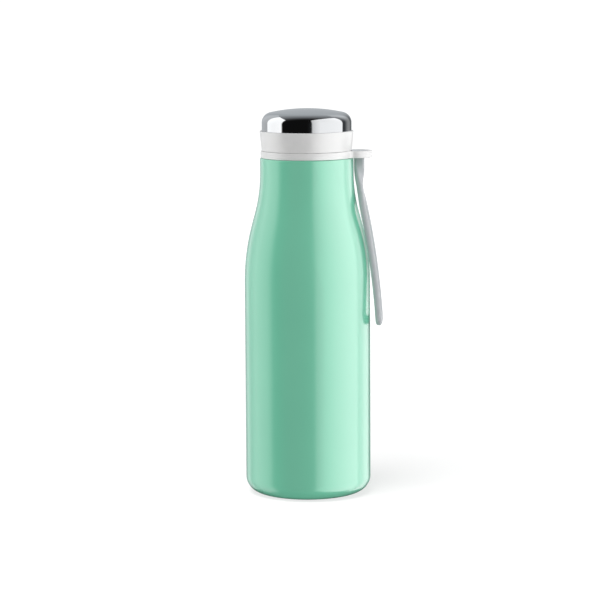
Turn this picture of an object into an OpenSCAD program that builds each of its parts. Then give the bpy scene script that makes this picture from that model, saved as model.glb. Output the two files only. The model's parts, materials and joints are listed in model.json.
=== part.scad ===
// Insulated water bottle: a double-walled steel flask with a screw stopper cap,
// a turning carry collar on the neck and a one-piece silicone carry strap.
// Millimetres, +Z up. The origin is the centre of the face the bottle stands on.

/* [Body] */
// Outside radius of the bottle
body_r = 36.3; // [35:0.1:37.5]
// Radius of the rounded bottom edge
foot_edge_r = 8.8; // [6:0.2:11]
// Height at which the shoulder leaves the straight wall
shoulder_z = 123; // [110:1:126]
// Radius of the convex sweep at the bottom of the shoulder
shoulder_sweep_r = 128; // [110:1:135]
// Radius of the concave sweep that runs into the neck
neck_sweep_r = 88; // [70:1:92]
// Steepest lean of the shoulder
shoulder_lean = 15.25; // [15:0.05:16]
// Outside radius of the neck at the top of the shell
neck_r = 26.9; // [26.6:0.1:27.2]
// Height of the ledge that carries the collar
ledge_z = 194.9; // [192:0.1:196]

/* [Vacuum walls] */
// Thickness of the steel walls
wall = 0.4; // [0.4:0.05:0.7]
// Depth from the outside of the shell to the outside of the inner flask
flask_inset = 3.5; // [3:0.1:3.6]
// Height of the underside of the inner flask
flask_floor_z = 10; // [9:0.5:14]
// Height of the mouth above the collar ledge
mouth_rise = 18.1; // [17:0.1:19]

/* [Base] */
// Height of the shell's bottom edge above the table
shell_lift = 0.4; // [0.2:0.1:0.8]
// Radius of the silicone base pad
pad_r = 26.6; // [24:0.2:27]
// Thickness of the silicone base pad
pad_h = 1.9; // [1.5:0.1:2.5]

/* [Carry collar] */
// Outside radius of the collar ring
collar_r = 26.5; // [26:0.1:27]
// Height of the collar ring
collar_h = 4; // [3.6:0.1:4.2]
// Distance from the bottle's axis to the centre of the round lug
lug_x = 28.3; // [28:0.1:30]
// Radius of the round lug
lug_r = 9.3; // [9:0.1:11]

/* [Carry strap] */
// Width of the strap where it passes through the lug
strap_w = 5.9; // [5.5:0.1:6]
// Thickness of the strap
strap_t = 3.6; // [3:0.1:3.8]
// Outside width of the finger loop
loop_w = 24; // [20:1:26]
// Width of the band that forms the finger loop
loop_band = 5; // [4:0.5:6]
// Turn of the finger loop's flat face away from straight outwards
loop_turn = 4; // [0:1:8]
// Height of the strap's lower end
loop_end_z = 98.2; // [90:0.1:105]

/* [Cap] */
// Outside radius of the cap's skirt at its lower edge
skirt_bottom_r = 25.9; // [25.7:0.1:26.2]
// Outside radius of the cap's skirt at its upper edge
skirt_top_r = 27; // [26.8:0.1:27.4]
// Height of the cap's skirt
skirt_h = 11.1; // [10.5:0.1:11.5]
// Outside radius of the polished dome
dome_r = 25.8; // [25.6:0.1:25.9]
// Height of the top of the dome
dome_top_z = 223.15; // [222:0.05:226]
// Radius of the dome's rounded edge
dome_edge_r = 6; // [5:0.5:8]
// Radius of the crown over the dome
crown_r = 100; // [80:5:140]
// Length of the stopper below the mouth
plug_depth = 11.7; // [8:0.1:11.8]

/* [Hidden] */
$fn = 96;

// Clearance between faces that slide or turn on each other
slide_gap = 0.1;
// Clearance between rings that are pushed together
push_gap = 0.05;
// Overshoot of a cutting shape past the face it cuts
past = 1;

// Shoulder: a convex arc, a short straight cone and a concave arc, all tangent
lean_drop = 1 - cos(shoulder_lean);
cone_len = (body_r - neck_r - (shoulder_sweep_r + neck_sweep_r) * lean_drop) / sin(shoulder_lean);
cone_bottom_r = body_r - shoulder_sweep_r * lean_drop;
cone_bottom_z = shoulder_z + shoulder_sweep_r * sin(shoulder_lean);
cone_top_r = cone_bottom_r - cone_len * sin(shoulder_lean);
cone_top_z = cone_bottom_z + cone_len * cos(shoulder_lean);
neck_z = cone_top_z + neck_sweep_r * sin(shoulder_lean);

// Steel neck above the ledge
finish_r = neck_r - flask_inset;
mouth_z = ledge_z + mouth_rise;
flask_seam_z = flask_floor_z + 18;
flask_corner_r = 8;
lip_r = 0.28;
lip_in = 0.17;

// Rolled bead that holds the collar down
bead_r = 0.8;
bead_groove_r = 0.55;
bead_z = ledge_z + collar_h + 1.05;

// Getter cup, hung under the flask away from the exhaust hole
getter_x = 15;
getter_r = 4.8;
getter_h = 1.6;
clip_wall = 0.3;

// Pressed bottom of the outer shell
rim_r = body_r - foot_edge_r - 0.2;
tray_z = pad_h + 0.3;
dimple_r = 5;
dimple_h = 2.6;
exhaust_r = 0.8;

// Collar
collar_z = ledge_z + slide_gap;
collar_top = collar_z + collar_h;
collar_bore_r = finish_r + 1;
snap_rib_h = 1;
head_r = 7.4;
head_x = 27.2;
head_h = 1.05;
head_edge = 0.3;
web_r = 3;
web_gap = 0.05;
slot_gap = 0.2;

// Strap: straight through the lug, a quarter turn, a bend and the hanging loop
strap_x = 30.15;
twist_top_z = 192;
bend_z = 179;
bend_gap = 0.1;
twist_end_z = bend_z + bend_gap;
quarter_turn = 90 - loop_turn;
grip_step = 0.15;
fall_lean = 11.2;
fall_len = 20;
hang_r = 440;
end_lean = 3;
hang_steps = 10;
loop_corner_r = 6;
loop_root_h = 4;
flare_r = 6;

// Cap
skirt_z = collar_top + 0.3;
skirt_top = skirt_z + skirt_h;
dome_wall = 0.6;
dome_seat_z = skirt_top - 2;
insert_r = dome_r - dome_wall - slide_gap;
insert_bore_r = insert_r - 0.6;
web_z = mouth_z + 0.4;
web_h = 1.6;
plug_r = finish_r - wall - 0.6;
plug_wall = 2;
plug_z = mouth_z - plug_depth;
groove_z = mouth_z - 5;
groove_h = 2.2;
groove_depth = 1;
plug_foot_r = 1.2;

// Ring of rectangular section, turned about the bottle's axis
module ring(inner_r, outer_r, z, h) {
    rotate_extrude()
        translate([inner_r, z])
            square([outer_r - inner_r, h]);
}

// Filled half section of the bottle's outer form, drawn inwards by an even inset
module bottle_section(inset) {
    wall_r = body_r - inset;
    edge_r = foot_edge_r - inset;
    edge_z = shell_lift + foot_edge_r;
    difference() {
        union() {
            // Straight wall and rounded bottom edge
            translate([0, edge_z])
                square([wall_r, shoulder_z - edge_z]);
            translate([0, shell_lift + inset])
                square([body_r - foot_edge_r, foot_edge_r]);
            translate([body_r - foot_edge_r, edge_z])
                circle(edge_r);
            // Convex sweep of the shoulder
            intersection() {
                translate([body_r - shoulder_sweep_r, shoulder_z])
                    circle(shoulder_sweep_r - inset, $fn = 720);
                polygon([
                    [0, shoulder_z],
                    [body_r + past, shoulder_z],
                    [cone_bottom_r + past * cos(shoulder_lean), cone_bottom_z + past * sin(shoulder_lean)],
                    [cone_bottom_r - inset * cos(shoulder_lean), cone_bottom_z - inset * sin(shoulder_lean)],
                    [0, cone_bottom_z - inset * sin(shoulder_lean)]
                ]);
            }
            // Cone between the sweeps
            polygon([
                [0, cone_bottom_z - inset * sin(shoulder_lean)],
                [cone_bottom_r - inset * cos(shoulder_lean), cone_bottom_z - inset * sin(shoulder_lean)],
                [cone_top_r - inset * cos(shoulder_lean), cone_top_z - inset * sin(shoulder_lean)],
                [0, cone_top_z - inset * sin(shoulder_lean)]
            ]);
            // Block that the concave sweep is cut from
            polygon([
                [0, cone_top_z - inset * sin(shoulder_lean)],
                [cone_top_r - inset * cos(shoulder_lean), cone_top_z - inset * sin(shoulder_lean)],
                [cone_top_r + inset, neck_z],
                [0, neck_z]
            ]);
            // Neck up to the ledge
            translate([0, neck_z])
                square([neck_r - inset, ledge_z - inset - neck_z]);
        }
        translate([neck_r + neck_sweep_r, neck_z])
            circle(neck_sweep_r + inset, $fn = 720);
    }
}

module outer_shell() {
    color("mediumaquamarine")
        rotate_extrude($fn = 180)
            difference() {
                bottle_section(0);
                bottle_section(wall);
                square([rim_r + push_gap, tray_z + past]);
                translate([0, ledge_z - past])
                    square([finish_r + push_gap, 2 * past]);
            }
}

module outer_base() {
    color("silver")
        rotate_extrude()
            difference() {
                union() {
                    translate([rim_r - wall, shell_lift])
                        square([wall, tray_z + wall - shell_lift]);
                    translate([0, tray_z])
                        square([rim_r, wall]);
                    translate([0, tray_z])
                        square([dimple_r + wall, dimple_h + wall]);
                }
                translate([0, tray_z - past])
                    square([dimple_r, dimple_h + past]);
                square([exhaust_r, tray_z + dimple_h + wall + past]);
            }
}

module seal_bead() {
    color("dimgray")
        rotate_extrude() {
            translate([0, tray_z + dimple_h])
                square([exhaust_r, wall]);
            intersection() {
                translate([0, tray_z + dimple_h])
                    circle(2);
                translate([0, tray_z + dimple_h - 2])
                    square(2);
            }
        }
}

module pad_adhesive() {
    color("gainsboro")
        ring(dimple_r + 1, pad_r - 0.4, pad_h, tray_z - pad_h);
}

module base_pad() {
    color("lightslategray")
        rotate_extrude()
            difference() {
                union() {
                    translate([0, 0.4])
                        square([pad_r, pad_h - 0.4]);
                    square([pad_r - 0.4, pad_h]);
                    translate([pad_r - 0.4, 0.4])
                        circle(0.4);
                }
                for (groove_r = [14 : 4 : 22])
                    translate([groove_r, 0])
                        circle(0.5);
            }
}

module inner_flask() {
    color("lightgray")
        rotate_extrude($fn = 180) {
            difference() {
                bottle_section(flask_inset);
                bottle_section(flask_inset + wall);
                square([body_r, flask_seam_z]);
                translate([0, ledge_z - flask_inset - wall - past])
                    square([body_r, flask_inset + wall + 2 * past]);
            }
            neck_finish_section();
        }
}

// Steel neck: plain wall, rolled collar bead and rounded drinking lip
module neck_finish_section() {
    finish_z = ledge_z - flask_inset - wall - past;
    difference() {
        union() {
            translate([finish_r - wall, finish_z])
                square([wall, mouth_z - lip_r - finish_z]);
            intersection() {
                translate([finish_r, bead_z])
                    circle(bead_r);
                translate([finish_r - wall / 2, bead_z - bead_r])
                    square(2 * bead_r);
            }
            translate([finish_r - lip_in, mouth_z - lip_r])
                circle(lip_r);
        }
        translate([finish_r - wall, bead_z])
            circle(bead_groove_r);
    }
}

module inner_base() {
    floor_r = body_r - flask_inset;
    color("lightgray")
        rotate_extrude()
            difference() {
                dish_section(floor_r, flask_corner_r, flask_floor_z);
                dish_section(floor_r - wall, flask_corner_r - wall, flask_floor_z + wall);
            }
}

// Filled half section of a round-cornered dish that reaches the flask's seam
module dish_section(r, corner_r, floor_z) {
    translate([0, floor_z + corner_r])
        square([r, flask_seam_z - floor_z - corner_r]);
    translate([0, floor_z])
        square([r - corner_r, corner_r]);
    translate([r - corner_r, floor_z + corner_r])
        circle(corner_r);
}

module foil_wrap() {
    foil_r = body_r - flask_inset + push_gap;
    color("peru")
        ring(foil_r, foil_r + 0.15, flask_seam_z - 3, shoulder_z - flask_seam_z);
}

module getter_clip() {
    clip_r = getter_r + push_gap;
    clip_h = clip_wall + getter_h + 0.1;
    color("darkgray")
        translate([getter_x, 0, flask_floor_z - clip_h]) {
            difference() {
                cylinder(r = clip_r + clip_wall, h = clip_h);
                translate([0, 0, -past])
                    cylinder(r = clip_r, h = clip_h - clip_wall + past);
            }
            for (tab_turn = [0 : 120 : 240])
                rotate(tab_turn)
                    translate([clip_r - 1, -0.8, -clip_wall])
                        cube([1 + clip_wall, 1.6, clip_wall]);
        }
}

module getter() {
    color("black")
        translate([getter_x, 0, flask_floor_z - clip_wall - getter_h])
            cylinder(r = getter_r, h = getter_h);
}

module carry_collar() {
    edge = 0.5;
    color("whitesmoke")
        difference() {
            union() {
                rotate_extrude($fn = 180)
                    difference() {
                        edged_block(collar_r, collar_z, collar_h, edge);
                        translate([0, collar_z - past])
                            square([collar_bore_r, collar_h + 2 * past]);
                    }
                // Round lug, joined to the ring
                translate([lug_x, 0, 0])
                    difference() {
                        rotate_extrude()
                            edged_block(lug_r, collar_z, collar_h, edge);
                        translate([-lug_x, 0, collar_z - past])
                            cylinder(r = collar_bore_r + past, h = collar_h + 2 * past, $fn = 180);
                    }
                // Filleted webs where the lug meets the ring
                translate([0, 0, collar_z])
                    linear_extrude(collar_h)
                        lug_web_outline();
                // Rib that snaps under the bead on the neck
                ring(finish_r + 0.35, collar_bore_r + past, collar_top - snap_rib_h - slide_gap, snap_rib_h);
            }
            // Recess for the strap's head
            translate([head_x, 0, collar_top - head_h - slide_gap])
                intersection() {
                    cylinder(r = head_r + slot_gap, h = head_h + past);
                    translate([collar_r - 1 - head_x, -lug_r, 0])
                        cube([lug_r * 2, lug_r * 2, head_h + past]);
                }
            // Slot for the strap
            translate([strap_x, 0, collar_z - past])
                linear_extrude(collar_h + 2 * past)
                    round_bar(strap_w + 2 * slot_gap, strap_t + 2 * slot_gap);
        }
}

// Plan of the two webs, whose fillets just clear the ring and the lug
module lug_web_outline() {
    to_ring = collar_r + web_r;
    to_lug = lug_r + web_r;
    web_x = (to_ring * to_ring - to_lug * to_lug + lug_x * lug_x) / (2 * lug_x);
    web_y = sqrt(to_ring * to_ring - web_x * web_x);
    difference() {
        polygon([[0, 0], [web_x, web_y], [lug_x, 0], [web_x, -web_y]]);
        for (side = [-1, 1])
            translate([web_x, side * web_y])
                circle(web_r - web_gap);
        circle(collar_bore_r + past, $fn = 180);
    }
}

// Half section of a disc whose two outer edges are rounded
module edged_block(r, z, h, edge) {
    translate([0, z])
        square([r - edge, h]);
    translate([0, z + edge])
        square([r, h - 2 * edge]);
    for (edge_z = [z + edge, z + h - edge])
        translate([r - edge, edge_z])
            circle(edge, $fn = 32);
}

// Flat bar's section with rounded edges, width along X
module round_bar(w, t, edge = 0.8) {
    square([w - 2 * edge, t], center = true);
    square([w, t - 2 * edge], center = true);
    for (side_x = [-1, 1], side_y = [-1, 1])
        translate([side_x * (w / 2 - edge), side_y * (t / 2 - edge)])
            circle(edge, $fn = 24);
}

module strap_tab() {
    color("lightsteelblue") {
        // Head, set into the top of the lug
        intersection() {
            translate([head_x, 0, 0])
                rotate_extrude()
                    edged_block(head_r, collar_top - head_h, head_h - push_gap, head_edge);
            translate([collar_r - 1 + slot_gap, -lug_r, collar_top - head_h])
                cube([lug_r * 2, lug_r * 2, head_h]);
        }
        // Straight part through the slot
        translate([strap_x, 0, twist_top_z])
            linear_extrude(collar_top - head_h / 2 - twist_top_z)
                round_bar(strap_w, strap_t);
        // Slightly slimmer quarter turn, sunk into the straight part
        translate([strap_x, 0, twist_end_z])
            rotate(quarter_turn)
                linear_extrude(twist_top_z + push_gap * 4 - twist_end_z, twist = quarter_turn, slices = 12, $fn = 32)
                    round_bar(strap_w - 2 * grip_step, strap_t - 2 * grip_step);
    }
}

module strap_loop() {
    color("lightsteelblue")
        translate([strap_x, 0, 0])
            rotate(-loop_turn)
                intersection() {
                    rotate([90, 0, 0])
                        linear_extrude(loop_w + 2 * past, center = true)
                            hang_section();
                    rotate([90, 0, 90])
                        linear_extrude(4 * loop_w, center = true)
                            loop_outline();
                }
}

// Side section of the hanging loop: a level top, a straight fall and a long slow curve
module hang_section() {
    half = strap_t / 2;
    fall_end = [fall_len * sin(fall_lean), bend_z - fall_len * cos(fall_lean)];
    centre = fall_end - hang_r * [cos(fall_lean), sin(fall_lean)];
    polygon(concat(
        [for (side = [1, -1]) [side * half / cos(fall_lean) + bend_gap * tan(fall_lean), bend_z - bend_gap]],
        [for (step = [0 : hang_steps]) centre + along(hang_angle(step), hang_r - half)],
        [for (step = [hang_steps : -1 : 0]) centre + along(hang_angle(step), hang_r + half)]
    ));
}

function along(angle, reach) = reach * [cos(angle), sin(angle)];
function hang_angle(step) = fall_lean - step * (fall_lean - end_lean) / hang_steps;

// Face outline of the finger loop: a narrow root that flares into a long ring
module loop_outline() {
    ring_top_z = bend_z - loop_root_h;
    ring_h = ring_top_z - loop_end_z;
    ring_centre_z = ring_top_z - loop_w / 2;
    flare_x = strap_w / 2 + flare_r;
    flare_z = ring_centre_z + sqrt(pow(loop_w / 2 + flare_r, 2) - flare_x * flare_x);
    difference() {
        union() {
            translate([-strap_w / 2, flare_z])
                square([strap_w, bend_z - flare_z]);
            difference() {
                polygon([[0, ring_centre_z], [flare_x, flare_z], [-flare_x, flare_z]]);
                for (side = [-1, 1])
                    translate([side * flare_x, flare_z])
                        circle(flare_r);
            }
            long_ring(loop_w, ring_h, loop_corner_r, loop_end_z);
        }
        long_ring(loop_w - 2 * loop_band, ring_h - 2 * loop_band, loop_corner_r - loop_band / 2,
            loop_end_z + loop_band);
    }
}

// Long outline: square corners rounded at the bottom, a full half circle at the top
module long_ring(w, h, corner_r, z) {
    translate([0, z + h - w / 2])
        circle(w / 2);
    translate([-w / 2, z + corner_r])
        square([w, h - w / 2 - corner_r]);
    translate([corner_r - w / 2, z])
        square([w - 2 * corner_r, h - w]);
    for (side = [-1, 1])
        translate([side * (w / 2 - corner_r), z + corner_r])
            circle(corner_r);
}

// Filled half section of the dome: crown, rounded edge and straight wall, all tangent
module dome_section(inset, bottom_z) {
    edge_x = dome_r - dome_edge_r;
    crown_z = dome_top_z - crown_r;
    edge_z = crown_z + sqrt(pow(crown_r - dome_edge_r, 2) - edge_x * edge_x);
    translate([0, bottom_z])
        square([dome_r - inset, edge_z - bottom_z]);
    translate([edge_x, edge_z])
        circle(dome_edge_r - inset);
    intersection() {
        translate([0, crown_z])
            circle(crown_r - inset, $fn = 720);
        polygon([
            [0, edge_z],
            [edge_x, edge_z],
            [edge_x * 1.2, crown_z + (edge_z - crown_z) * 1.2],
            [0, crown_z + (edge_z - crown_z) * 1.2]
        ]);
    }
}

module cap_dome() {
    color("silver")
        rotate_extrude($fn = 180)
            difference() {
                dome_section(0, dome_seat_z);
                dome_section(dome_wall, dome_seat_z - past);
            }
}

module cap_skirt() {
    edge = 0.35;
    foot_edge = 0.3;
    color("whitesmoke")
        rotate_extrude($fn = 180)
            difference() {
                union() {
                    polygon([
                        [0, skirt_z],
                        [skirt_bottom_r - foot_edge, skirt_z],
                        [skirt_bottom_r, skirt_z + foot_edge],
                        [skirt_top_r, skirt_top - edge],
                        [0, skirt_top - edge]
                    ]);
                    translate([0, skirt_top - 2 * edge])
                        square([skirt_top_r - edge, 2 * edge]);
                    translate([skirt_top_r - edge, skirt_top - edge])
                        circle(edge, $fn = 32);
                }
                translate([0, skirt_z - past])
                    square([insert_r + push_gap, skirt_h + 2 * past]);
                translate([0, dome_seat_z - push_gap])
                    square([dome_r + push_gap, skirt_h]);
            }
}

module cap_body() {
    color("ghostwhite")
        rotate_extrude($fn = 180) {
            translate([insert_bore_r, skirt_z + 0.3])
                square([insert_r - insert_bore_r, web_z + web_h - skirt_z - 0.3]);
            translate([0, web_z])
                square([insert_r, web_h]);
        }
}

module cap_insulation() {
    color("khaki")
        rotate_extrude()
            intersection() {
                dome_section(dome_wall + 0.3, web_z);
                translate([0, web_z + web_h])
                    square([insert_r - 2.4, dome_top_z]);
            }
}

module dome_adhesive() {
    bead = 0.85;
    color("burlywood")
        rotate_extrude()
            translate([insert_r - bead, web_z + web_h + bead])
                circle(bead, $fn = 32);
}

module stopper_cup() {
    color("ghostwhite")
        rotate_extrude()
            difference() {
                union() {
                    translate([0, plug_z + plug_foot_r])
                        square([plug_r, web_z - plug_z - plug_foot_r]);
                    translate([0, plug_z])
                        square([plug_r - plug_foot_r, plug_foot_r]);
                    translate([plug_r - plug_foot_r, plug_z + plug_foot_r])
                        circle(plug_foot_r);
                }
                translate([0, plug_z + plug_foot_r])
                    square([plug_r - plug_wall, web_z - plug_z]);
                translate([plug_r - groove_depth, groove_z])
                    square([groove_depth + past, groove_h]);
            }
}

module stopper_foam() {
    color("khaki")
        translate([0, 0, plug_z + plug_foot_r])
            cylinder(r = plug_r - plug_wall - slide_gap, h = web_z - plug_z - plug_foot_r - slide_gap);
}

// Silicone ring with two soft fins that wipe the inside of the mouth
module seal_gasket() {
    root_r = plug_r - groove_depth + slide_gap;
    fin_r = finish_r - wall - 1.5 * slide_gap;
    ring_z = groove_z + 0.2;
    ring_h = groove_h - 0.4;
    fin_h = 0.6;
    color("darkgray")
        rotate_extrude() {
            translate([root_r, ring_z])
                square([plug_r - root_r, ring_h]);
            for (fin_z = [ring_z, ring_z + ring_h - fin_h])
                translate([root_r, fin_z])
                    square([fin_r - root_r, fin_h]);
        }
}

outer_shell();
outer_base();
seal_bead();
pad_adhesive();
base_pad();
inner_flask();
inner_base();
foil_wrap();
getter_clip();
getter();
carry_collar();
strap_tab();
strap_loop();
cap_dome();
cap_skirt();
cap_body();
cap_insulation();
dome_adhesive();
stopper_cup();
stopper_foam();
seal_gasket();
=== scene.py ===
"""Insulated water bottle: a double-walled steel flask with a screw cap, a turning collar and a strap.

The sections follow the bottle as it is put together: the inner flask, what is sealed between the walls,
the outer shell, the base, the neck thread, the collar, the strap, the stopper, the cap, and the studio.
"""

import json
from math import atan, atan2, cos, degrees, pi, radians, sin, sqrt, tan

import bmesh
import bpy
from mathutils import Matrix, Vector


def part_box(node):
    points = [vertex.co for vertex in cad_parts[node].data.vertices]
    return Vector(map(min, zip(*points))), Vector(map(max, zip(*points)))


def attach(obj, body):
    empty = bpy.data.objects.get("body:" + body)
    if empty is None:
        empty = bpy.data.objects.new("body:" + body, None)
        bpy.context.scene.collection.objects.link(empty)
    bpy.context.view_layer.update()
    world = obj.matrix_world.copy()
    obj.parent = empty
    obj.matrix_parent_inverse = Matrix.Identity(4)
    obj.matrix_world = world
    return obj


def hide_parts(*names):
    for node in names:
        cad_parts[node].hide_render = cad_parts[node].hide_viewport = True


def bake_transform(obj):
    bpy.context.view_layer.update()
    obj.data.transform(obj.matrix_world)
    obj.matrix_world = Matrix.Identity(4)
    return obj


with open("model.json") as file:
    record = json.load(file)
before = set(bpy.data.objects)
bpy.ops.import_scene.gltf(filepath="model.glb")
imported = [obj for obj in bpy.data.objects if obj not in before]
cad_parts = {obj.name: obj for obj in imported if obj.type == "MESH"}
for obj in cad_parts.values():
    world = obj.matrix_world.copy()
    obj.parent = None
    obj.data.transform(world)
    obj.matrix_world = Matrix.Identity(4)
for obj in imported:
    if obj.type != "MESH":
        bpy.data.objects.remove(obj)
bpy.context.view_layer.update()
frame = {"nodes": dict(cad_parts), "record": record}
nodes = frame["nodes"]

mm = 0.001


# ---- Inner flask -------------------------------------------------------------------------------
# Drawn stainless steel, necked in by spinning. A bead rolled under the mouth keeps the collar on,
# and the mouth's edge is curled for drinking. Turning leaves fine rings round the steel.


def arc(centre, radius, start, end, steps):
    """Points on an arc from one angle to another, in degrees from straight outwards."""
    return [
        (
            centre[0] + radius * cos(radians(start + (end - start) * step / steps)),
            centre[1] + radius * sin(radians(start + (end - start) * step / steps)),
        )
        for step in range(steps + 1)
    ]


def turn(bm, outline, steps=192):
    """Spins a half section's outline round the bottle's axis. One that starts on the axis isn't closed."""
    points = [bm.verts.new((r, 0, z)) for r, z in outline]
    sides = [bm.edges.new(pair) for pair in zip(points, points[1:])]
    if outline[0][0] > 0:
        sides.append(bm.edges.new((points[-1], points[0])))
    bmesh.ops.spin(
        bm, geom=points + sides, cent=(0, 0, 0), axis=(0, 0, 1), angle=2 * pi, steps=steps, use_merge=True
    )
    bmesh.ops.remove_doubles(bm, verts=bm.verts, dist=0.0005 * mm)
    bmesh.ops.recalc_face_normals(bm, faces=bm.faces)


def made(name, bm, crease=35):
    """Turns a bmesh into a piece, smooth apart from edges that fold by more than an angle."""
    for face in bm.faces:
        face.smooth = True
    for edge in bm.edges:
        if len(edge.link_faces) == 2:
            edge.smooth = edge.calc_face_angle() < radians(crease)
    mesh = bpy.data.meshes.new(name)
    bm.to_mesh(mesh)
    bm.free()
    piece = bpy.data.objects.new(name, mesh)
    bpy.context.scene.collection.objects.link(piece)
    return piece


def turned(name, outline, steps=192):
    """A piece that is a body of revolution round the bottle's axis."""
    bm = bmesh.new()
    turn(bm, outline, steps)
    return made(name, bm)


def finish(name, colour, roughness, metallic=0.0, **sockets):
    """A new material with one principled shader, whose even values sit on its own sockets."""
    material = bpy.data.materials.new(name)
    material.use_nodes = True
    shader = material.node_tree.nodes["Principled BSDF"]
    shader.inputs["Base Color"].default_value = (*colour, 1)
    shader.inputs["Roughness"].default_value = roughness
    shader.inputs["Metallic"].default_value = metallic
    for socket, value in sockets.items():
        shader.inputs[socket.replace("_", " ")].default_value = value
    return material


def noise(material, scale, stretch=(1, 1, 1), detail=2.0):
    """A noise pattern on the piece's own coordinates, with scale in cells a metre."""
    tree = material.node_tree
    place = tree.nodes.new("ShaderNodeTexCoord")
    mapping = tree.nodes.new("ShaderNodeMapping")
    texture = tree.nodes.new("ShaderNodeTexNoise")
    mapping.inputs["Scale"].default_value = stretch
    texture.inputs["Scale"].default_value = scale
    texture.inputs["Detail"].default_value = detail
    tree.links.new(place.outputs["Object"], mapping.inputs["Vector"])
    tree.links.new(mapping.outputs["Vector"], texture.inputs["Vector"])
    return texture.outputs["Fac"]


def rough(material, pattern, low, high):
    """Lets a pattern move the roughness between two values."""
    tree = material.node_tree
    spread = tree.nodes.new("ShaderNodeMapRange")
    spread.inputs["From Min"].default_value = 0.3
    spread.inputs["From Max"].default_value = 0.7
    spread.inputs["To Min"].default_value = low
    spread.inputs["To Max"].default_value = high
    tree.links.new(pattern, spread.inputs["Value"])
    tree.links.new(spread.outputs["Result"], tree.nodes["Principled BSDF"].inputs["Roughness"])


def tint(material, pattern, colour, other):
    """Lets a pattern move the base colour between two tones."""
    tree = material.node_tree
    ramp = tree.nodes.new("ShaderNodeValToRGB")
    ramp.color_ramp.elements[0].position = 0.35
    ramp.color_ramp.elements[0].color = (*colour, 1)
    ramp.color_ramp.elements[1].position = 0.65
    ramp.color_ramp.elements[1].color = (*other, 1)
    tree.links.new(pattern, ramp.inputs["Fac"])
    tree.links.new(ramp.outputs["Color"], tree.nodes["Principled BSDF"].inputs["Base Color"])


def relief(material, pattern, height):
    """Raises the surface by a pattern, with height in metres."""
    tree = material.node_tree
    bump = tree.nodes.new("ShaderNodeBump")
    bump.inputs["Distance"].default_value = height
    tree.links.new(pattern, bump.inputs["Height"])
    tree.links.new(bump.outputs["Normal"], tree.nodes["Principled BSDF"].inputs["Normal"])


def dress(piece, material, body, slot, *stands_for):
    """Puts a piece on its body, in its material, in place of the nodes that it stands for."""
    piece.data.materials.append(material)
    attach(piece, body)
    if stands_for:
        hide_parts(*stands_for)


def paint(node, material):
    """Gives a node that is shown as it is its material."""
    nodes[node].data.materials.clear()
    nodes[node].data.materials.append(material)


wall = 0.4 * mm
body_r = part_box("outer_shell")[1].x
ledge_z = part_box("outer_shell")[1].z
flask_inset = body_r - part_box("inner_base")[1].x
flask_floor_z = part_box("inner_base")[0].z
flask_seam_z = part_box("inner_base")[1].z
mouth_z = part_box("inner_flask")[1].z
shoulder_z = 123 * mm
shoulder_sweep = 128 * mm
neck_sweep = 88 * mm
shoulder_lean = 15.25
neck_r = 26.9 * mm
finish_r = neck_r - flask_inset
bead_z = 199.95 * mm
lip_centre = (finish_r - 0.17 * mm, mouth_z - 0.28 * mm)


def shoulder(inset):
    """The half section of the shoulder, bottom to top: a convex sweep, a cone and a concave sweep."""
    lean = radians(shoulder_lean)
    sweeps = shoulder_sweep + neck_sweep
    cone = (body_r - neck_r - sweeps * (1 - cos(lean))) / sin(lean)
    neck_z = shoulder_z + sweeps * sin(lean) + cone * cos(lean)
    return arc((body_r - shoulder_sweep, shoulder_z), shoulder_sweep - inset, 0, shoulder_lean, 20) + arc(
        (neck_r + neck_sweep, neck_z), neck_sweep + inset, 180 + shoulder_lean, 180, 20
    )


flask_wall = turned(
    "flask_wall",
    [(body_r - flask_inset, flask_seam_z)]
    + shoulder(flask_inset)
    + arc((finish_r, bead_z), 0.8 * mm, -90, 90, 12)
    + arc(lip_centre, 0.28 * mm, -52, 214, 12)
    + arc((finish_r - wall, bead_z), 0.55 * mm, 90, -90, 10)
    + shoulder(flask_inset + wall)[::-1]
    + [(body_r - flask_inset - wall, flask_seam_z)],
)
turned_steel = finish("turned_steel", (0.56, 0.56, 0.57), 0.3, metallic=1.0, Anisotropic=0.4)
turning_marks = noise(turned_steel, 40, stretch=(1, 1, 60))
rough(turned_steel, turning_marks, 0.22, 0.36)
relief(turned_steel, turning_marks, 0.008 * mm)
dress(flask_wall, turned_steel, "bottle", "brushed_steel", "inner_flask")


# ---- Flask floor -------------------------------------------------------------------------------
# A pressed steel dish, welded to the flask's wall all round. The weld is rolled nearly flush.

corner = 8 * mm
corner_centre = (body_r - flask_inset - corner, flask_floor_z + corner)
flask_floor = turned(
    "flask_floor",
    [(0, flask_floor_z)]
    + arc(corner_centre, corner, -90, 0, 12)
    + [(body_r - flask_inset, flask_seam_z), (body_r - flask_inset - wall, flask_seam_z)]
    + arc(corner_centre, corner - wall, 0, -90, 12)
    + [(0, flask_floor_z + wall)],
)
dress(flask_floor, turned_steel, "bottle", "brushed_steel", "inner_base")

weld_steel = finish("weld_steel", (0.5, 0.49, 0.48), 0.35, metallic=1.0)
ripples = noise(weld_steel, 900)
rough(weld_steel, ripples, 0.25, 0.45)
relief(weld_steel, ripples, 0.05 * mm)
weld_centre = (body_r - flask_inset - wall / 2, flask_seam_z)
weld_r = 0.35 * mm
seam_weld = turned("seam_weld", arc(weld_centre, weld_r, 0, 324, 9), steps=160)
dress(seam_weld, weld_steel, "bottle", "brushed_steel")


# ---- Between the walls -------------------------------------------------------------------------
# Copper foil wrapped round the flask keeps heat in. The getter pill sits in a stamped clip under
# the floor, and a bead of solder glass closes the hole that the air was pumped out through.

copper_foil = finish("copper_foil", (0.72, 0.38, 0.25), 0.28, metallic=1.0)
creases = noise(copper_foil, 90, detail=5.0)
tint(copper_foil, creases, (0.62, 0.3, 0.19), (0.78, 0.45, 0.32))
relief(copper_foil, creases, 0.3 * mm)
paint("foil_wrap", copper_foil)

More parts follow.
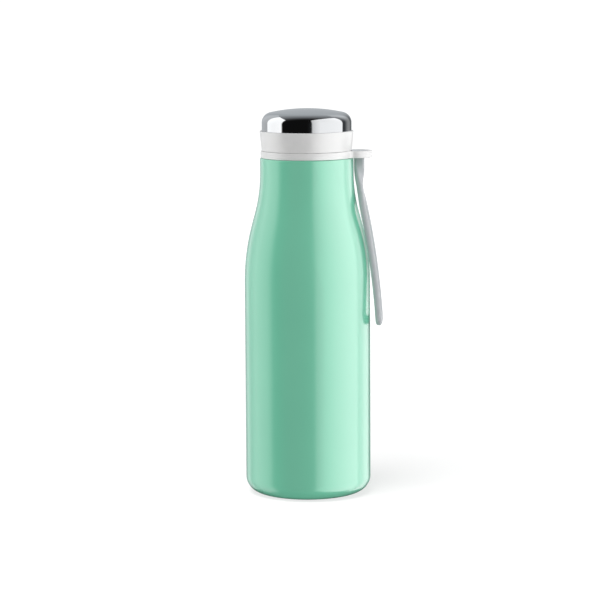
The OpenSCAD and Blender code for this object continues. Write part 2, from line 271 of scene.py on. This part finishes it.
stamped_steel = finish("stamped_steel", (0.5, 0.5, 0.51), 0.4, metallic=1.0)
rough(stamped_steel, noise(stamped_steel, 900), 0.34, 0.48)
paint("getter_clip", stamped_steel)

getter_alloy = finish("getter_alloy", (0.09, 0.09, 0.1), 0.75, metallic=0.6)
grains = noise(getter_alloy, 4000, detail=4.0)
tint(getter_alloy, grains, (0.06, 0.06, 0.065), (0.16, 0.16, 0.17))
relief(getter_alloy, grains, 0.06 * mm)
paint("getter", getter_alloy)

solder_glass = finish("solder_glass", (0.12, 0.13, 0.14), 0.12, Specular_IOR_Level=0.7)
tint(solder_glass, noise(solder_glass, 1500), (0.09, 0.1, 0.11), (0.17, 0.18, 0.19))
paint("seal_bead", solder_glass)


# ---- Outer shell -------------------------------------------------------------------------------
# One drawn and spun steel skin from the foot to the ledge, where it is welded to the flask. It is
# sprayed with mint lacquer under a clear coat and baked, which leaves a faint orange peel.

shell_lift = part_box("outer_shell")[0].z
foot_edge = 8.8 * mm
ledge_edge = 0.7 * mm
rim_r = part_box("outer_base")[1].x + 0.05 * mm


def shell_side(inset):
    """The shell's half section from the foot's rounded edge to the ledge."""
    return (
        arc((body_r - foot_edge, shell_lift + foot_edge), foot_edge - inset, -90, 0, 16)
        + shoulder(inset)
        + arc((neck_r - ledge_edge, ledge_z - ledge_edge), ledge_edge - inset, 0, 90, 6)
    )


bottle_shell = turned(
    "bottle_shell",
    [(rim_r, shell_lift)]
    + shell_side(0)
    + [(finish_r + 0.05 * mm, ledge_z), (finish_r + 0.05 * mm, ledge_z - wall)]
    + shell_side(wall)[::-1]
    + [(rim_r, shell_lift + wall)],
    steps=256,
)
mint_lacquer = finish(
    "mint_lacquer", (0.207, 0.72, 0.482), 0.28, IOR=1.7, Coat_Weight=1.0, Coat_Roughness=0.16, Coat_IOR=1.75
)
tint(mint_lacquer, noise(mint_lacquer, 25), (0.203, 0.712, 0.477), (0.211, 0.728, 0.488))
relief(mint_lacquer, noise(mint_lacquer, 700, detail=1.0), 0.0015 * mm)
dress(bottle_shell, mint_lacquer, "bottle", "mint_lacquer", "outer_shell")


# ---- Base --------------------------------------------------------------------------------------
# A pressed steel tray, welded into the foot, has a dimple over the exhaust hole. A moulded silicone
# pad is glued into the tray, and its rings keep the bottle from sticking to a wet table.


def rounded(corners, steps=4):
    """An outline through corners (across, up, radius), each rounded by an arc tangent to both its sides."""
    outline = []
    for before, here, after in zip(corners[-1:] + corners[:-1], corners, corners[1:] + corners[:1]):
        point = Vector(here[:2])
        if here[2] == 0:
            outline.append(tuple(point))
            continue
        back = (Vector(before[:2]) - point).normalized()
        ahead = (Vector(after[:2]) - point).normalized()
        half = back.angle(ahead) / 2
        centre = point + (back + ahead).normalized() * (here[2] / sin(half))
        first = point + back * (here[2] / tan(half)) - centre
        last = point + ahead * (here[2] / tan(half)) - centre
        sweep = first.angle(last)
        for step in range(steps + 1):
            share = step / steps
            mix = (first * sin((1 - share) * sweep) + last * sin(share * sweep)) / sin(sweep)
            outline.append(tuple(centre + mix))
    return outline


pad_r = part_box("base_pad")[1].x
pad_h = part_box("base_pad")[1].z
tray_z = pad_h + 0.3 * mm
tray_rim_r = rim_r - 0.05 * mm
dimple_z = tray_z + 2.6 * mm
tray = turned(
    "base_tray",
    rounded(
        [
            (0.8 * mm, dimple_z, 0),
            (5 * mm, dimple_z, 0.6 * mm),
            (5 * mm, tray_z, 0.5 * mm),
            (tray_rim_r - wall, tray_z, 0.6 * mm),
            (tray_rim_r - wall, shell_lift, 0.15 * mm),
            (tray_rim_r, shell_lift, 0.15 * mm),
            (tray_rim_r, tray_z + wall, 0.9 * mm),
            (5 * mm + wall, tray_z + wall, 0.2 * mm),
            (5 * mm + wall, dimple_z + wall, 0.9 * mm),
            (0.8 * mm, dimple_z + wall, 0),
        ]
    ),
)
dress(tray, turned_steel, "bottle", "brushed_steel", "outer_base")

adhesive = finish("adhesive", (0.75, 0.72, 0.62), 0.5)
rough(adhesive, noise(adhesive, 500), 0.4, 0.6)
for node in ("pad_adhesive", "dome_adhesive"):
    paint(node, adhesive)

pad_outline = [(0, 0)]
for groove_r in (14 * mm, 18 * mm, 22 * mm):
    pad_outline += arc((groove_r, 0), 0.5 * mm, 180, 0, 8)
pad_outline += arc((pad_r - 0.4 * mm, 0.4 * mm), 0.4 * mm, -90, 0, 5)
pad_outline += arc((pad_r - 0.4 * mm, pad_h - 0.4 * mm), 0.4 * mm, 0, 90, 5) + [(0, pad_h)]
pad = turned("base_cushion", pad_outline)
grey_silicone = finish("grey_silicone", (0.465, 0.49, 0.51), 0.42, Sheen_Weight=0.15)
bloom = noise(grey_silicone, 260, detail=3.0)
tint(grey_silicone, bloom, (0.455, 0.48, 0.5), (0.485, 0.51, 0.53))
relief(grey_silicone, noise(grey_silicone, 3000), 0.003 * mm)
dress(pad, grey_silicone, "bottle", "grey_silicone", "base_pad")


# ---- Neck thread -------------------------------------------------------------------------------
# The male thread is rolled into the flask's bare steel neck above the bead, and runs out smoothly
# at both ends. One turn lifts the cap by the pitch.


def ridge(name, root_r, crest_r, low_z, high_z, root_w, crest_w, pitch):
    """A helical ridge on a cylinder, which fades into it at both ends."""
    steps = 96
    whole = round((high_z - low_z - root_w) / pitch * steps)
    middle = low_z + root_w / 2
    bm = bmesh.new()
    section = [(root_r, -root_w), (crest_r, -crest_w), (crest_r, crest_w), (root_r, root_w)]
    face = bm.faces.new([bm.verts.new((r, 0, middle + z / 2)) for r, z in section])
    bmesh.ops.bevel(
        bm, geom=face.edges[1].verts[:], offset=0.2 * mm, segments=3, profile=0.5,
        affect="VERTICES", material=-1,
    )
    bmesh.ops.spin(
        bm, geom=bm.verts[:] + bm.edges[:] + bm.faces[:], cent=(0, 0, 0), axis=(0, 0, 1),
        dvec=(0, 0, pitch / steps), angle=2 * pi * whole / steps, steps=whole,
    )
    bmesh.ops.recalc_face_normals(bm, faces=bm.faces)
    fade = 0.15
    for vert in bm.verts:
        turns = atan2(vert.co.y, vert.co.x) / (2 * pi)
        turns += round((vert.co.z - middle) / pitch - turns)
        share = min(1, max(0, min(turns, whole / steps - turns) / fade))
        reach = vert.co.xy.length
        vert.co.xy *= (root_r + (reach - root_r) * share) / reach
    return made(name, bm)


pitch = 2 * pi * frame["record"]["behaviour"]["couplings"][0]["ratio"]
thread_low_z = ledge_z + 6.8 * mm
thread_depth = 0.85 * mm
thread_root = 0.1 * mm
neck_thread = ridge(
    "neck_thread", finish_r - thread_root, finish_r + thread_depth, thread_low_z, mouth_z - 1 * mm,
    2.1 * mm, 0.9 * mm, pitch,
)
dress(neck_thread, turned_steel, "bottle", "brushed_steel")


# ---- Carry collar ------------------------------------------------------------------------------
# One white plastic moulding: a ring that turns on the neck, held down by the bead, and a round lug
# with a slot for the strap and a shallow seat for the strap's head.

collar_low, collar_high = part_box("carry_collar")
collar_r = -collar_low.x
lug_x = 28.3 * mm
lug_r = collar_high.x - lug_x
collar_bore = finish_r + 1 * mm
seat_depth = 1.15 * mm
seat_r = 7.6 * mm
head_x = 27.2 * mm
seat_back = collar_r - 1 * mm
strap_x = 30.15 * mm
strap_w = 5.9 * mm
strap_t = 3.6 * mm
slot_w = strap_w / 2 + 0.2 * mm
slot_t = strap_t / 2 + 0.2 * mm


def meeting(centre_x, radius, other_x, other_radius):
    """Where two circles on the lug's centre line meet, as the angle seen from the first."""
    apart = other_x - centre_x
    along = (radius**2 - other_radius**2 + apart**2) / (2 * apart)
    return degrees(atan2(sqrt(radius**2 - along**2), along))


def raise_face(bm, face, height):
    """Extrudes a level face straight up and returns the new top."""
    grown = bmesh.ops.extrude_face_region(bm, geom=[face])["geom"]
    raised = [part for part in grown if isinstance(part, bmesh.types.BMVert)]
    bmesh.ops.translate(bm, verts=raised, vec=(0, 0, height))
    return next(part for part in grown if isinstance(part, bmesh.types.BMFace))


def whole_from_half(bm, edge, segments, sharper_than=25):
    """Mirrors a half piece across the plane y = 0, and rounds the edges of the whole."""
    inside = [face for face in bm.faces if all(abs(vert.co.y) < 0.001 * mm for vert in face.verts)]
    bmesh.ops.delete(bm, geom=inside, context="FACES_ONLY")
    bmesh.ops.mirror(bm, geom=bm.verts[:] + bm.edges[:] + bm.faces[:], axis="Y", merge_dist=0.002 * mm)
    bmesh.ops.remove_doubles(bm, verts=bm.verts, dist=0.002 * mm)
    bmesh.ops.recalc_face_normals(bm, faces=bm.faces)
    folded = [line for line in bm.edges if len(line.link_faces) == 2]
    sharp = [line for line in folded if line.calc_face_angle() > radians(sharper_than)]
    bmesh.ops.bevel(
        bm, geom=sharp, offset=edge, segments=segments, profile=0.5,
        affect="EDGES", material=-1, clamp_overlap=True,
    )


web = 3 * mm
web_angle = meeting(0, collar_r + web, lug_x, lug_r + web)
web_centre = ((collar_r + web) * cos(radians(web_angle)), (collar_r + web) * sin(radians(web_angle)))
lug_angle = degrees(atan2(web_centre[1], web_centre[0] - lug_x))
seat_angle = degrees(atan2(sqrt(seat_r**2 - (head_x - seat_back) ** 2), seat_back - head_x))
seat_line = arc((head_x, 0), seat_r, 0, seat_angle, 24)
slot_corner = 0.8 * mm
collar_plan = (
    arc((0, 0), collar_r, 180, web_angle, 72)
    + arc(web_centre, web, web_angle + 180, lug_angle + 180, 10)[1:-1]
    + arc((lug_x, 0), lug_r, lug_angle, 0, 28)
    + [(head_x + seat_r, 0), (strap_x + slot_w, 0)]
    + arc((strap_x + slot_w - slot_corner, slot_t - slot_corner), slot_corner, 0, 90, 5)
    + arc((strap_x - slot_w + slot_corner, slot_t - slot_corner), slot_corner, 90, 180, 5)
    + [(strap_x - slot_w, 0), (seat_back, 0)]
    + arc((0, 0), collar_bore, 0, 180, 84)
)
bm = bmesh.new()
plan = bm.faces.new([bm.verts.new((x, y, collar_low.z)) for x, y in collar_plan])
top = raise_face(bm, plan, collar_high.z - collar_low.z - seat_depth)
seat_start, seat_end = (
    min(top.verts, key=lambda vert: (vert.co.xy - Vector(corner)).length)
    for corner in (seat_line[0], (seat_back, 0))
)
seat_path = [(x, y, seat_start.co.z) for x, y in seat_line[1:]]
bmesh.utils.face_split(top, seat_start, seat_end, coords=seat_path)
level = [face for face in bm.faces if abs(face.normal.z) > 0.9]
upper = [face for face in level if face.calc_center_median().z > collar_low.z + mm]
raise_face(bm, max(upper, key=lambda face: face.calc_area()), seat_depth)
whole_from_half(bm, 0.35 * mm, 4)
collar = made("neck_collar", bm)
white_plastic = finish("white_plastic", (0.82, 0.82, 0.815), 0.3, IOR=2.1)
haze = noise(white_plastic, 180)
rough(white_plastic, haze, 0.28, 0.36)
tint(white_plastic, haze, (0.81, 0.81, 0.805), (0.83, 0.83, 0.825))
relief(white_plastic, noise(white_plastic, 2500), 0.003 * mm)
dress(collar, white_plastic, "collar", "white_plastic", "carry_collar")

snap_ring = turned(
    "snap_ring",
    rounded(
        [
            (finish_r + 0.35 * mm, collar_high.z - 1.1 * mm, 0.2 * mm),
            (collar_bore + 0.4 * mm, collar_high.z - 1.1 * mm, 0),
            (collar_bore + 0.4 * mm, collar_high.z - 0.4 * mm, 0),
            (finish_r + 0.35 * mm, collar_high.z - 0.4 * mm, 0.2 * mm),
        ]
    ),
)
dress(snap_ring, white_plastic, "collar", "white_plastic")


# ---- Carry strap -------------------------------------------------------------------------------
# One flat silicone moulding. A round head sits in the lug; below it the strap makes a quarter turn,
# bends outwards over the shoulder and opens into a long finger loop.

twist_top_z = 191.5 * mm
twist_end_z = 178.5 * mm
quarter_turn = radians(86)
bend_z = 179 * mm
fall_lean = radians(11.2)
fall_end_z = bend_z - 20 * mm * cos(fall_lean)
hang_r = 440 * mm
loop_end_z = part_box("strap_loop")[0].z
loop_w = 24 * mm
band = 5 * mm
loop_corner = 6 * mm
flare = 6 * mm
head_top_z = collar_high.z - 0.1 * mm
head_h = 1 * mm


def offset_at(z):
    """How far the strap's middle stands out from the lug's slot at a height."""
    if z < fall_end_z:
        centre_x = (bend_z - fall_end_z) * tan(fall_lean) - hang_r * cos(fall_lean)
        centre_z = fall_end_z - hang_r * sin(fall_lean)
        return centre_x + sqrt(hang_r**2 - (z - centre_z) ** 2)
    soft = 4 * mm
    below = bend_z - z
    if below > soft:
        return below * tan(fall_lean)
    return max(0, below + soft) ** 2 / (4 * soft) * tan(fall_lean)


def twist_at(z):
    """The strap's turn about the vertical at a height, eased at both ends."""
    share = min(1, max(0, (twist_top_z - z) / (twist_top_z - twist_end_z)))
    return quarter_turn * (0.6 * share + 0.4 * share * share * (3 - 2 * share))


ring_top_z = bend_z - 4 * mm
ring_centre_z = ring_top_z - loop_w / 2
flare_x = strap_w / 2 + flare
flare_z = ring_centre_z + sqrt((loop_w / 2 + flare) ** 2 - flare_x**2)
flare_angle = degrees(atan2(flare_z - ring_centre_z, flare_x))
hole_r = loop_w / 2 - band
hole_corner = loop_corner - band / 2
strap_top_z = head_top_z - 0.5 * mm
strap_plan = (
    [(0, strap_top_z), (strap_w / 2, strap_top_z)]
    + arc((flare_x, flare_z), flare, 180, 180 + flare_angle, 8)
    + arc((0, ring_centre_z), loop_w / 2, flare_angle, 0, 12)[1:]
    + arc((loop_w / 2 - loop_corner, loop_end_z + loop_corner), loop_corner, 0, -90, 8)
    + [(0, loop_end_z), (0, loop_end_z + band)]
    + arc((hole_r - hole_corner, loop_end_z + band + hole_corner), hole_corner, -90, 0, 8)
    + arc((0, ring_top_z - band - hole_r), hole_r, 0, 90, 14)
)
bm = bmesh.new()
plan = bm.faces.new([bm.verts.new((z, x, -strap_t / 2)) for x, z in strap_plan])
raise_face(bm, plan, strap_t)
whole_from_half(bm, 1.6 * mm, 6, sharper_than=60)
cut_z = loop_end_z + 1.3 * mm
while cut_z < strap_top_z:
    bmesh.ops.bisect_plane(
        bm, geom=bm.verts[:] + bm.edges[:] + bm.faces[:], dist=0.0001 * mm,
        plane_co=(cut_z, 0, 0), plane_no=(1, 0, 0),
    )
    cut_z += (2.2 if cut_z < ring_top_z else 0.8) * mm
outwards = Vector((sin(quarter_turn), -cos(quarter_turn), 0))
for vert in bm.verts:
    z, across, through = vert.co
    turn_here = twist_at(z)
    lean = atan((offset_at(z - 0.2 * mm) - offset_at(z + 0.2 * mm)) / (0.4 * mm))
    side = Vector((cos(turn_here), sin(turn_here), 0))
    face_out = Vector((sin(turn_here), -cos(turn_here), 0)) * cos(lean) + Vector((0, 0, sin(lean)))
    vert.co = Vector((strap_x, 0, z)) + outwards * offset_at(z) + side * across + face_out * through
head_r = 7.4 * mm
head_back = seat_back + 0.2 * mm
head_angle = degrees(atan2(sqrt(head_r**2 - (head_x - head_back) ** 2), head_back - head_x))
head = bmesh.new()
plan = head.faces.new(
    [
        head.verts.new((x, y, head_top_z - head_h))
        for x, y in [(head_back, 0), *arc((head_x, 0), head_r, 0, head_angle, 24)]
    ]
)
raise_face(head, plan, head_h)
whole_from_half(head, 0.35 * mm, 3)
head_mesh = bpy.data.meshes.new("strap_head")
head.to_mesh(head_mesh)
head.free()
bm.from_mesh(head_mesh)
bpy.data.meshes.remove(head_mesh)
bmesh.ops.recalc_face_normals(bm, faces=bm.faces)
strap = made("carry_strap", bm)
strap.data.materials.append(grey_silicone)
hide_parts("strap_tab", "strap_loop")
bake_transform(strap)


# ---- Stopper -----------------------------------------------------------------------------------
# A white plastic cup filled with foam, welded under the cap's top. A silicone seal with two soft
# fins sits in its groove and wipes the inside of the mouth.

cup_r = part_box("stopper_cup")[1].x
cup_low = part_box("stopper_cup")[0].z
cup_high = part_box("stopper_cup")[1].z
groove_z = mouth_z - 5 * mm
groove_h = 2.2 * mm
cup = turned(
    "stopper_plug",
    rounded(
        [
            (0, cup_low, 0),
            (cup_r, cup_low, 1.2 * mm),
            (cup_r, groove_z, 0.15 * mm),
            (cup_r - 1 * mm, groove_z, 0),
            (cup_r - 1 * mm, groove_z + groove_h, 0),
            (cup_r, groove_z + groove_h, 0.15 * mm),
            (cup_r, cup_high, 0),
            (cup_r - 2 * mm, cup_high, 0),
            (cup_r - 2 * mm, cup_low + 1.2 * mm, 0.3 * mm),
            (0, cup_low + 1.2 * mm, 0),
        ]
    ),
)
dress(cup, white_plastic, "cap", "white_plastic", "stopper_cup")

foam = finish("foam", (0.85, 0.8, 0.62), 0.9)
cells = noise(foam, 1800, detail=3.0)
tint(foam, cells, (0.78, 0.72, 0.52), (0.88, 0.84, 0.68))
relief(foam, cells, 0.3 * mm)
for node in ("stopper_foam", "cap_insulation"):
    paint(node, foam)

seal_low, seal_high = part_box("seal_gasket")
seal_r = seal_high.x
fin_h = 0.6 * mm
seal = turned(
    "seal_ring",
    rounded(
        [
            (cup_r - 0.9 * mm, seal_low.z, 0.1 * mm),
            (seal_r, seal_low.z, 0.2 * mm),
            (seal_r, seal_low.z + fin_h, 0.2 * mm),
            (cup_r, seal_low.z + fin_h, 0.15 * mm),
            (cup_r, seal_high.z - fin_h, 0.15 * mm),
            (seal_r, seal_high.z - fin_h, 0.2 * mm),
            (seal_r, seal_high.z, 0.2 * mm),
            (cup_r - 0.9 * mm, seal_high.z, 0.1 * mm),
        ]
    ),
)
clear_silicone = finish("clear_silicone", (0.78, 0.79, 0.8), 0.35, Transmission_Weight=0.25)
rough(clear_silicone, noise(clear_silicone, 800), 0.3, 0.42)
dress(seal, clear_silicone, "cap_seal", "seal_silicone", "seal_gasket")


# ---- Cap body ----------------------------------------------------------------------------------
# A white moulding with the top web and the threaded wall that screws onto the neck. Its thread
# sits half a turn from the neck's, so the two ridges lie in each other's gaps.

insert_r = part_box("cap_body")[1].x
insert_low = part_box("cap_body")[0].z
web_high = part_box("cap_body")[1].z
web_low = cup_high
insert_bore = insert_r - 0.6 * mm
cap_insert = turned(
    "cap_insert",
    rounded(
        [
            (0, web_low, 0),
            (insert_bore, web_low, 0.4 * mm),
            (insert_bore, insert_low, 0.2 * mm),
            (insert_r, insert_low, 0.2 * mm),
            (insert_r, web_high, 0.3 * mm),
            (0, web_high, 0),
        ]
    ),
)
dress(cap_insert, white_plastic, "cap", "white_plastic", "cap_body")
cap_thread = ridge(
    "cap_thread", insert_bore + thread_root, insert_bore - thread_depth, thread_low_z + pitch / 2,
    mouth_z - 0.6 * mm, 1.8 * mm, 0.7 * mm, pitch,
)
dress(cap_thread, white_plastic, "cap", "white_plastic")


# ---- Cap skirt ---------------------------------------------------------------------------------
# The outer white ring, a little wider at the top, which is pushed over the cap body and locked to
# it. Its top edge is stepped to take the dome.

skirt_low, skirt_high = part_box("cap_skirt")
skirt_bottom_r = 25.9 * mm
dome_low, dome_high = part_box("cap_dome")
skirt = turned(
    "cap_ring",
    rounded(
        [
            (skirt_bottom_r, skirt_low.z - 0.2 * mm, 0.08 * mm),
            (skirt_high.x, skirt_high.z, 0.35 * mm),
            (dome_high.x + 0.05 * mm, skirt_high.z, 0.2 * mm),
            (dome_high.x + 0.05 * mm, dome_low.z - 0.05 * mm, 0),
            (insert_r + 0.05 * mm, dome_low.z - 0.05 * mm, 0),
            (insert_r + 0.05 * mm, skirt_low.z, 0.3 * mm),
        ]
    ),
    steps=256,
)
dress(skirt, white_plastic, "cap", "white_plastic", "cap_skirt")


# ---- Cap dome ----------------------------------------------------------------------------------
# Spun stainless steel, polished to a mirror and glued over the cap body. Fingers leave it slightly
# hazy, so the polish isn't even.

dome_edge = 6 * mm
crown_r = 100 * mm
dome_wall = 0.6 * mm
crown_z = dome_high.z - crown_r
edge_x = dome_high.x - dome_edge
edge_z = crown_z + sqrt((crown_r - dome_edge) ** 2 - edge_x**2)
edge_angle = degrees(atan2(edge_z - crown_z, edge_x))


def dome_side(inset):
    """The dome's half section from its lower edge to the middle of the crown."""
    return (
        [(dome_high.x - inset, dome_low.z)]
        + arc((edge_x, edge_z), dome_edge - inset, 0, edge_angle, 24)
        + arc((0, crown_z), crown_r - inset, edge_angle, 90, 16)[1:-1]
        + [(0, crown_z + crown_r - inset)]
    )


dome = turned("cap_crown", dome_side(0)[::-1] + dome_side(dome_wall), steps=256)
polished_steel = finish("polished_steel", (0.6, 0.61, 0.62), 0.05, metallic=1.0)
rough(polished_steel, noise(polished_steel, 60, detail=4.0), 0.035, 0.07)
relief(polished_steel, noise(polished_steel, 120), 0.002 * mm)
dress(dome, polished_steel, "cap", "polished_steel", "cap_dome")


# ---- Studio ------------------------------------------------------------------------------------
# A white table and backdrop. The lacquer mirrors tall softboxes at the left, the right and the rear
# right, and the dome mirrors two cards of its own. The soft lights are mirrored by nothing and leave
# the table alone, which one light from above shades.


def aim(thing, place, target):
    """Stands a light at a place, looking at a target."""
    thing.location = place
    thing.rotation_euler = (Vector(target) - Vector(place)).to_track_quat("-Z", "Y").to_euler()


def softbox(name, profile, radiance, mirrored=True, low=-2.2, high=2.8, distance=1.8):
    """A tall panel that faces the bottle. Its brightness follows a profile of (bearing, share), with
    bearings in degrees from the front to the right, and it is either mirrored or sheds light."""
    left, right = profile[0][0], profile[-1][0]
    middle, reach = (left + right) / 2, tan(radians((right - left) / 2))
    light = bpy.data.lights.new(name, "AREA")
    light.shape = "RECTANGLE"
    light.size = 2 * distance * reach
    light.size_y = high - low
    light.energy = radiance * pi * light.size * light.size_y
    light.use_nodes = True
    tree = light.node_tree
    place = tree.nodes.new("ShaderNodeNewGeometry")
    across = tree.nodes.new("ShaderNodeSeparateXYZ")
    shade = tree.nodes.new("ShaderNodeValToRGB")
    stops = shade.color_ramp.elements
    for bearing, share in profile[1:-1]:
        stops.new(0.5 + tan(radians(bearing - middle)) / (2 * reach)).color = (share, share, share, 1)
    stops[0].color = (profile[0][1],) * 3 + (1,)
    stops[-1].color = (profile[-1][1],) * 3 + (1,)
    tree.links.new(place.outputs["Parametric"], across.inputs["Vector"])
    tree.links.new(across.outputs["X"], shade.inputs["Fac"])
    tree.links.new(shade.outputs["Color"], tree.nodes["Emission"].inputs["Color"])
    panel = bpy.data.objects.new(name, light)
    bpy.context.scene.collection.objects.link(panel)
    centre_z = (low + high) / 2
    bearing = radians(middle)
    aim(panel, (distance * sin(bearing), -distance * cos(bearing), centre_z), (0, 0, centre_z))
    panel.visible_camera = False
    panel.visible_diffuse = not mirrored
    panel.visible_glossy = mirrored
    return panel


def link(light, piece, state):
    """Lets a light reach one piece only (INCLUDE), or every piece but that one (EXCLUDE)."""
    chosen = bpy.data.collections.new(light.name + "_receivers")
    chosen.objects.link(piece)
    chosen.collection_objects[0].light_linking.link_state = state
    light.light_linking.receiver_collection = chosen


shell_panels = [
    softbox("right_panel", [(12, 0), (15, 0.3), (55, 0.8), (80, 0.95), (103, 1), (105, 0)], 2.45),
    softbox("left_panel", [(-150, 0.8), (-127, 0.2), (-110, 0.85), (-77, 0.95), (-66, 0)], 0.9),
    softbox("rear_panel", [(104, 0.8), (130, 1), (150, 0.6)], 1.6),
]
for panel in shell_panels:
    link(panel, dome, "EXCLUDE")
dome_cards = [
    softbox("left_card", [(-160, 0.05), (-121, 0.2), (-119, 0.8), (-69, 0.95), (-65, 0)], 1.7, high=2.4),
    softbox("right_card", [(12, 0), (15, 0.6), (35, 0.9), (103, 1), (105, 0)], 1.42),
    softbox("edge_card", [(115, 0), (130, 0.8), (142, 0.85), (150, 0.2), (170, 0.2)], 0.36),
]
for card in dome_cards:
    link(card, dome, "INCLUDE")
soft_lights = [
    softbox("left_light", [(-130, 1), (-85, 0.4)], 2.8, mirrored=False, distance=1.5),
    softbox("front_light", [(-45, 0.9), (-15, 0.55), (30, 0.4)], 1.2, mirrored=False, distance=1.5),
    softbox("right_light", [(50, 0.75), (90, 1)], 1.62, mirrored=False, distance=1.5),
    softbox("rim_light", [(125, 1), (170, 0.5)], 3.8, mirrored=False, distance=1.5),
]

# The surroundings give an even fill. Mirrors see them black in front and grey behind and above,
# with a dark patch low on the right.
world = bpy.data.worlds.new("studio")
bpy.context.scene.world = world
world.use_nodes = True
world.cycles.sampling_method = "NONE"
tree = world.node_tree
direction = tree.nodes.new("ShaderNodeTexCoord")
parts = tree.nodes.new("ShaderNodeSeparateXYZ")
ramp = tree.nodes.new("ShaderNodeValToRGB")
stops = ramp.color_ramp.elements
stops[0].position, stops[0].color = 0.4, (0.007, 0.007, 0.007, 1)
stops[1].position, stops[1].color = 0.97, (0.52, 0.55, 0.575, 1)
stops.new(0.54).color = (0.05, 0.05, 0.052, 1)
stops.new(0.92).color = (0.42, 0.44, 0.46, 1)
tree.links.new(direction.outputs["Generated"], parts.inputs["Vector"])
tilted = tree.nodes.new("ShaderNodeMath")
tilted.operation = "MULTIPLY_ADD"
tilted.inputs[1].default_value = 0.5
tree.links.new(parts.outputs["Z"], tilted.inputs[0])
tree.links.new(parts.outputs["Y"], tilted.inputs[2])
half = tree.nodes.new("ShaderNodeMath")
half.operation = "MULTIPLY_ADD"
half.inputs[1].default_value = 0.5
half.inputs[2].default_value = 0.5
tree.links.new(tilted.outputs["Value"], half.inputs[0])
tree.links.new(half.outputs["Value"], ramp.inputs["Fac"])
to_the_right = tree.nodes.new("ShaderNodeMapRange")
to_the_right.interpolation_type = "SMOOTHSTEP"
to_the_right.inputs["From Max"].default_value = 0.5
tree.links.new(parts.outputs["X"], to_the_right.inputs["Value"])
above = tree.nodes.new("ShaderNodeMapRange")
above.interpolation_type = "SMOOTHSTEP"
above.inputs["From Min"].default_value = 0.6
above.inputs["From Max"].default_value = 0.1
tree.links.new(parts.outputs["Z"], above.inputs["Value"])
shade = tree.nodes.new("ShaderNodeMath")
shade.operation = "MULTIPLY"
tree.links.new(to_the_right.outputs["Result"], shade.inputs[0])
tree.links.new(above.outputs["Result"], shade.inputs[1])
flag = tree.nodes.new("ShaderNodeMix")
flag.data_type = "RGBA"
flag.inputs["B"].default_value = (0.06, 0.065, 0.07, 1)
tree.links.new(shade.outputs["Value"], flag.inputs["Factor"])
tree.links.new(ramp.outputs["Color"], flag.inputs["A"])
ray = tree.nodes.new("ShaderNodeLightPath")
fill = tree.nodes.new("ShaderNodeMix")
fill.data_type = "RGBA"
fill.inputs["A"].default_value = (0.27, 0.27, 0.27, 1)
tree.links.new(ray.outputs["Is Glossy Ray"], fill.inputs["Factor"])
tree.links.new(flag.outputs["Result"], fill.inputs["B"])
tree.links.new(fill.outputs["Result"], tree.nodes["Background"].inputs["Color"])

# The table glows a little, less so near the bottle, so that it stays white out to its edge.
backdrop_r = 8.0
bm = bmesh.new()
bmesh.ops.create_circle(bm, cap_ends=True, radius=backdrop_r, segments=64)
table = made("table", bm)
table_paint = finish(
    "table_paint", (0.12, 0.12, 0.12), 0.9, Emission_Color=(1, 1, 1, 1), Specular_IOR_Level=0
)
tree = table_paint.node_tree
place = tree.nodes.new("ShaderNodeTexCoord")
reach = tree.nodes.new("ShaderNodeVectorMath")
reach.operation = "LENGTH"
glow = tree.nodes.new("ShaderNodeMapRange")
glow.inputs["From Min"].default_value = 0.15
glow.inputs["From Max"].default_value = 0.8
glow.inputs["To Min"].default_value = 0.76
glow.inputs["To Max"].default_value = 1.05
tree.links.new(place.outputs["Object"], reach.inputs[0])
tree.links.new(reach.outputs["Value"], glow.inputs["Value"])
tree.links.new(glow.outputs["Result"], tree.nodes["Principled BSDF"].inputs["Emission Strength"])
table.data.materials.append(table_paint)
table.visible_glossy = False
table.visible_diffuse = False
for light in soft_lights:
    link(light, table, "EXCLUDE")

top_light = bpy.data.lights.new("top_light", "AREA")
top_light.shape = "RECTANGLE"
top_light.size = 1.0
top_light.size_y = 1.0
top_light.energy = 75
overhead = bpy.data.objects.new("top_light", top_light)
bpy.context.scene.collection.objects.link(overhead)
aim(overhead, (-0.35, -0.5, 1.4), (0, 0, 0))
overhead.visible_camera = False
link(overhead, table, "INCLUDE")

# A dark disc under the bottle, seen only in reflections: painted contact shade, which darkens the foot
# where the lacquer mirrors the table.
bm = bmesh.new()
bmesh.ops.create_circle(bm, cap_ends=True, radius=0.036, segments=64)
bmesh.ops.translate(bm, verts=bm.verts, vec=(0, 0, 0.02 * mm))
contact_shade_disc = made("contact_shade_disc", bm)
contact_shade_disc.data.materials.append(finish("contact_shade_paint", (0.1, 0.1, 0.1), 0.9))
contact_shade_disc.visible_camera = False
contact_shade_disc.visible_diffuse = False
contact_shade_disc.visible_shadow = False

bm = bmesh.new()
bmesh.ops.create_uvsphere(bm, u_segments=48, v_segments=24, radius=backdrop_r)
bmesh.ops.reverse_faces(bm, faces=bm.faces)
backdrop = made("backdrop", bm)
backdrop_paint = finish(
    "backdrop_paint", (0, 0, 0), 1.0, Emission_Color=(1, 1, 1, 1), Emission_Strength=1.05
)
backdrop.data.materials.append(backdrop_paint)
backdrop.visible_diffuse = False
backdrop.visible_glossy = False
backdrop.visible_transmission = False
backdrop.visible_shadow = False

camera_data = bpy.data.cameras.new("camera")
camera_data.lens = 142.93
camera_data.sensor_width = 36
camera_data.clip_start = 0.05
camera_data.clip_end = 30
camera = bpy.data.objects.new("camera", camera_data)
bpy.context.scene.collection.objects.link(camera)
camera.matrix_world = (
    Matrix.Translation((-4.36 * mm, -1368.3 * mm, 296.5 * mm))
    @ Matrix.Rotation(radians(90 - 7.669), 4, "X")
    @ Matrix.Rotation(radians(-0.32), 4, "Z")
)
bpy.context.scene.camera = camera
bpy.context.scene.view_settings.view_transform = "Standard"
